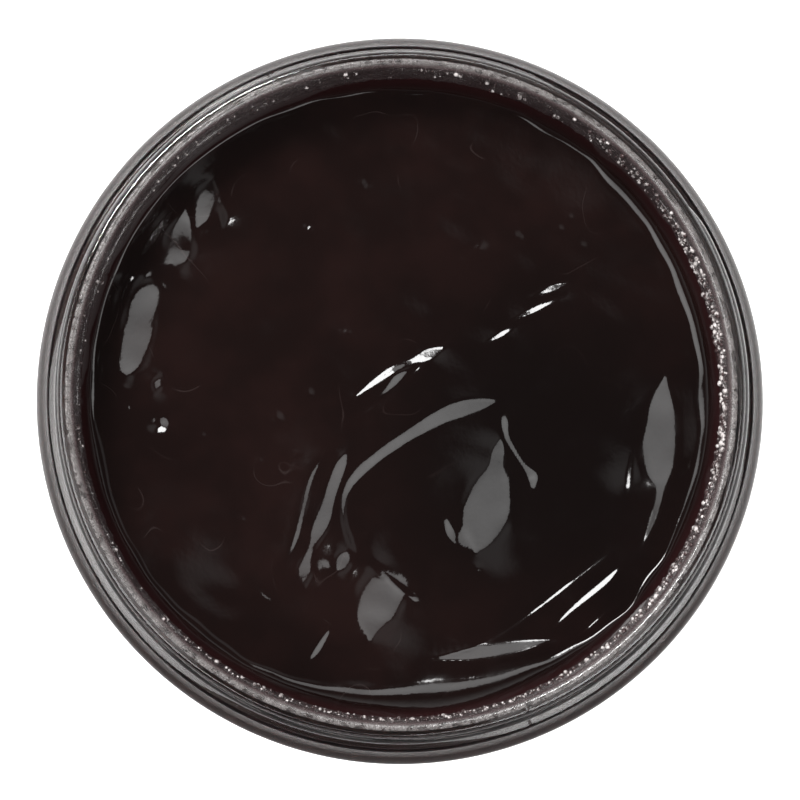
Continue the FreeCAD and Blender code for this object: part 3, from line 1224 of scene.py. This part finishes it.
        # Each ring was drawn one millimetre further down than the last, which tells them apart.
        layer = np.round(-found[:, 2]).astype(int)
        level = np.zeros_like(layer)
        for step in range(1, len(side)):
            level[layer >= step * (step + 1) // 2] = step
        x, y = found[:, 0].copy(), found[:, 1].copy()
        found[:, 0] = x * np.sqrt(1.0 - y * y / 2.0)
        found[:, 1] = y * np.sqrt(1.0 - x * x / 2.0)
        radius = np.array([rim, *(r for r, _ in side[1:])])[level]
        found[:, :2] *= np.maximum(radius, NARROWEST)[:, None]
        down = np.array([z for _, z in side])[level]
        top = level == 0
        found[:, 2] = down
        found[top, 2] = self.surface(found[top, 0], found[top, 1])
        set_places(piece, found)
        bpy.ops.object.mode_set(mode="EDIT")
        bpy.ops.mesh.select_all(action="SELECT")
        bpy.ops.mesh.remove_doubles(threshold=WELD_GRID)
        bpy.ops.mesh.fill_holes(sides=0)
        bpy.ops.mesh.select_all(action="SELECT")
        bpy.ops.mesh.normals_make_consistent(inside=False)
        bpy.ops.object.mode_set(mode="OBJECT")
        bpy.ops.object.shade_smooth()
        piece.data.materials.append(WaxCream().material())
        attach(piece, BODY)
        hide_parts("polish_cream")
        log.info("%s: %d faces", piece.name, len(piece.data.polygons))
        return piece


# ---------------------------------------------------------------- residue on the bore


class DropBand(Enum):
    """Where round the bore a drop is set."""

    RIGHT_EVEN = 0
    RIGHT_MIDDLE = 1
    FRONT = 2
    ALL_ROUND = 3


@dataclass
class BoreResidue:
    """The film of cream on the bore above the fill, and the drops on it."""

    jar: GlassJar
    low: float = 29.2
    high: float = 34.7
    film: float = 0.10
    grip: float = 0.02
    waves: float = 0.07
    wave_size: float = 1.1
    wave_seed: int = 21
    coat: float = 0.20
    coat_rise: float = 0.05
    coat_end: float = 0.03
    top_gap: float = 0.04
    steps: int = 720
    beads: int = 1100
    bead_size: Point = (0.06, 0.30)
    bead_log_size: Point = (-1.95, 0.38)
    bead_girth: Point = (0.7, 0.8)
    bead_length: Point = (0.9, 2.6)
    bead_sunk: float = 0.2
    bead_margin: Point = (0.8, 0.6)
    right_growth: float = 1.25
    other_growth: float = 0.95
    seed: int = 5

    def build_film(self) -> bpy.types.Object:
        """Make the film, a thin ring whose inner face is uneven.

        Returns:
            The finished film.
        """
        outer = self.jar.bore + self.grip
        inner = self.jar.bore - self.film
        lip_round, lip_z = self.jar.lip_round, self.jar.lip_z
        lip = (self.jar.bore + lip_round, lip_z)
        end = lip[0] + self.coat
        outline = (
            [(outer, self.low), (outer, lip_z)]
            + arc(lip, lip_round - self.grip, 178, 90, 8)
            + [(end, lip_z + lip_round - self.grip)]
            + [(end - self.grip, lip_z + lip_round + self.coat_end)]
            + arc(lip, lip_round + self.coat_rise, 90, 178, 8)
            + run((inner + self.top_gap, lip_z), (inner, self.low), 30)
        )
        piece = spin_outline("bore_film", outline, self.steps, closed=True)
        found = places(piece)
        radius = np.hypot(found[:, 0], found[:, 1])
        angle = np.arctan2(found[:, 1], found[:, 0])
        inside = (radius < self.jar.bore - NEAR) & (found[:, 2] < lip_z)
        rough = ripple(angle * self.jar.bore, found[:, 2] * 0.5, self.wave_size, self.wave_seed)
        swell = self.waves * np.clip(0.5 + 0.5 * rough, 0.0, 1.6)
        scale = np.where(inside, (radius - swell) / radius, 1.0)
        found[:, :2] *= scale[:, None]
        set_places(piece, found)
        piece.data.materials.append(CreamFilm().material())
        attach(piece, BODY)
        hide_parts("wall_smear")
        log.info("%s: %d faces", piece.name, len(piece.data.polygons))
        return piece

    def build_beads(self) -> bpy.types.Object:
        """Make the drops, one small ball copied, squashed and set round the bore.

        Returns:
            The finished drops, joined.
        """
        bpy.ops.object.select_all(action="DESELECT")
        bpy.ops.mesh.primitive_uv_sphere_add(segments=8, ring_count=6, radius=MM)
        first = bpy.context.object
        first.name = "bore_drops"
        bpy.ops.object.shade_smooth()
        draw = np.random.default_rng(self.seed)
        copies = [first]
        model = first.data
        for _ in range(self.beads - 1):
            copy = bpy.data.objects.new("bore_drop", model.copy())
            bpy.context.scene.collection.objects.link(copy)
            copies.append(copy)
        for copy in copies:
            band = DropBand(int(draw.choice(len(DropBand))))
            bearings = {
                DropBand.RIGHT_EVEN: draw.uniform(-48.0, 52.0),
                DropBand.RIGHT_MIDDLE: draw.normal(0.0, 26.0),
                DropBand.FRONT: draw.normal(280.0, 30.0),
                DropBand.ALL_ROUND: draw.uniform(0.0, 360.0),
            }
            bearing = math.radians(bearings[band])
            right = band in (DropBand.RIGHT_EVEN, DropBand.RIGHT_MIDDLE)
            growth = self.right_growth if right else self.other_growth
            size = float(np.clip(draw.lognormal(*self.bead_log_size), *self.bead_size)) * growth
            height = draw.uniform(self.low + self.bead_margin[0], self.high + self.bead_margin[1])
            reach = self.jar.bore - self.film - size * self.bead_sunk
            place = (reach * math.cos(bearing), reach * math.sin(bearing), height)
            copy.location = tuple(value * MM for value in place)
            copy.rotation_euler = (0.0, 0.0, bearing)
            deep, wide = self.bead_girth
            copy.scale = (size * deep, size * wide, size * draw.uniform(*self.bead_length))
            copy.select_set(True)
        bpy.context.view_layer.objects.active = first
        bpy.ops.object.join()
        bpy.ops.object.transform_apply(location=True, rotation=True, scale=True)
        first.data.materials.clear()
        first.data.materials.append(CreamBead().material())
        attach(first, BODY)
        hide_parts("smear_droplets")
        log.info("%s: %d faces", first.name, len(first.data.polygons))
        return first


# ---------------------------------------------------------------- the studio


@dataclass(frozen=True)
class SoftBox:
    """A rectangular studio lamp that faces the jar.

    Attributes:
        name: what it is called.
        bearing: where it stands round the jar, in degrees from +X towards +Y.
        zenith: how far it leans from straight overhead, in degrees.
        width: its size round the jar, in metres.
        height: its size up and down, in metres.
        radiance: how bright its face is.
        distance: how far it stands from the jar, in metres.
        spread: how widely each spot of its face shines, in degrees; a narrow one is
            brighter in the middle of its face, as seen from the jar.
    """

    name: str
    bearing: float
    zenith: float
    width: float
    height: float
    radiance: float
    distance: float = 0.8
    spread: float = 180.0

    def build(self, target: Vector) -> bpy.types.Object:
        """Set up the lamp.

        Args:
            target: the place that it faces.

        Returns:
            The lamp.
        """
        a, e = math.radians(self.bearing), math.radians(self.zenith)
        way = Vector((math.sin(e) * math.cos(a), math.sin(e) * math.sin(a), math.cos(e)))
        lamp = bpy.data.lights.new(self.name, "AREA")
        lamp.shape = "RECTANGLE"
        lamp.size = self.width
        lamp.size_y = self.height
        lamp.energy = math.pi * self.width * self.height * self.radiance
        lamp.spread = math.radians(self.spread)
        thing = bpy.data.objects.new(self.name, lamp)
        thing.location = target + way * self.distance
        thing.rotation_mode = "QUATERNION"
        thing.rotation_quaternion = (-way).to_track_quat("-Z", "Y")
        bpy.context.scene.collection.objects.link(thing)
        return thing


@dataclass
class Studio:
    """The pale floor, the lamps and the camera almost straight above the jar."""

    widest: float = 22.5
    distance: float = 294.5
    tilt_front: float = 2.4
    tilt_side: float = 0.56
    lens: float = 147.9
    ambient: float = 0.10
    horizon: float = 1.5
    horizon_foot: float = 0.05
    horizon_top: float = 0.45
    back_range: Point = (-0.75, 0.1)
    front_share: float = 0.15
    soft: float = 0.7
    soft_way: tuple[float, float, float] = (0.287, 0.241, 0.927)
    soft_range: Point = (0.958, 0.998)
    backdrop: float = 0.9
    floor_radius: float = 6.0

    def lamps(self) -> list[SoftBox]:
        """Return the lamps, as they stand round the jar."""
        return [
            SoftBox("lamp_front_right", 320.0, 37.0, 0.68, 0.50, 1.25, spread=80.0),
            SoftBox("lamp_left", 200.0, 37.0, 0.65, 0.50, 1.25, spread=80.0),
            SoftBox("lamp_back", 95.0, 42.0, 0.62, 0.27, 1.0, spread=80.0),
            SoftBox("lamp_strip", 128.0, 30.0, 0.29, 0.22, 46.0),
        ]

    def build_floor(self) -> None:
        """Lay the floor under the jar."""
        bpy.ops.object.select_all(action="DESELECT")
        bpy.ops.mesh.primitive_circle_add(
            vertices=96, radius=self.floor_radius, fill_type="NGON", location=(0, 0, 0)
        )
        floor = bpy.context.object
        floor.name = "studio_floor"
        floor.data.materials.append(PaleFloor().material())
        floor.visible_glossy = False

    def build_world(self) -> None:
        """Light the room dimly, brighter low down at the back.

        The camera alone sees a plain pale backdrop instead.
        """
        world = bpy.data.worlds.new("studio_room")
        bpy.context.scene.world = world
        world.use_nodes = True
        room = Bench("room_sketch", world.node_tree)
        around = room.add("ShaderNodeTexCoord", output="Generated")
        way = room.node("ShaderNodeSeparateXYZ", sockets={"Vector": around})
        x, y, z = (Wire(room, way.outputs[i]) for i in range(3))
        low = 1.0 - z.between(self.horizon_foot, self.horizon_top)
        toward = x * self.soft_way[0] + y * self.soft_way[1] + z * self.soft_way[2]
        soft = toward.between(*self.soft_range) * self.soft
        back = y.between(*self.back_range) * (1.0 - self.front_share) + self.front_share
        glow = low * back * self.horizon + soft + self.ambient
        tone = room.add("ShaderNodeCombineColor", sockets={0: glow, 1: glow, 2: glow})
        dim = room.add("ShaderNodeBackground", sockets={"Color": tone, "Strength": 1.0})
        sockets = {"Color": (*WHITE, 1.0), "Strength": self.backdrop}
        pale = room.add("ShaderNodeBackground", sockets=sockets)
        seen = room.add("ShaderNodeLightPath", output="Is Camera Ray")
        mix = room.add("ShaderNodeMixShader", sockets={0: seen, 1: dim, 2: pale})
        room.node("ShaderNodeOutputWorld", sockets={"Surface": mix})

    def build_camera(self) -> None:
        """Set the camera above the jar, leaning slightly to the front and to the left."""
        target = Vector((0.0, 0.0, self.widest * MM))
        side, front = math.radians(self.tilt_side), math.radians(self.tilt_front)
        way = Vector((-math.sin(side), -math.sin(front), 0.0))
        way.z = math.sqrt(1.0 - way.length_squared)
        data = bpy.data.cameras.new("camera")
        data.lens = self.lens
        data.clip_start = 0.01
        camera = bpy.data.objects.new("camera", data)
        camera.location = target + way * self.distance * MM
        right = Vector((0.0, 1.0, 0.0)).cross(way).normalized()
        camera.rotation_mode = "QUATERNION"
        axes = Matrix((right, way.cross(right), way)).transposed()
        camera.rotation_quaternion = axes.to_quaternion()
        bpy.context.scene.collection.objects.link(camera)
        bpy.context.scene.camera = camera

    def build(self) -> None:
        """Set up the floor, room, lamps and camera."""
        self.build_floor()
        self.build_world()
        for lamp in self.lamps():
            lamp.build(Vector((0.0, 0.0, self.widest * MM)))
        self.build_camera()
        view = bpy.context.scene.view_settings
        view.view_transform = "Standard"
        view.look = "None"
        log.info("studio: %d lamps", len(self.lamps()))


def main() -> None:
    """Build the jar, its cream and the residue, then the studio."""
    logging.basicConfig(level=logging.INFO, format="%(name)s %(message)s")
    jar = GlassJar()
    jar.build()
    PolishCream(jar).build()
    residue = BoreResidue(jar)
    residue.build_film()
    residue.build_beads()
    Studio().build()


if __name__ == "__main__":
    main()
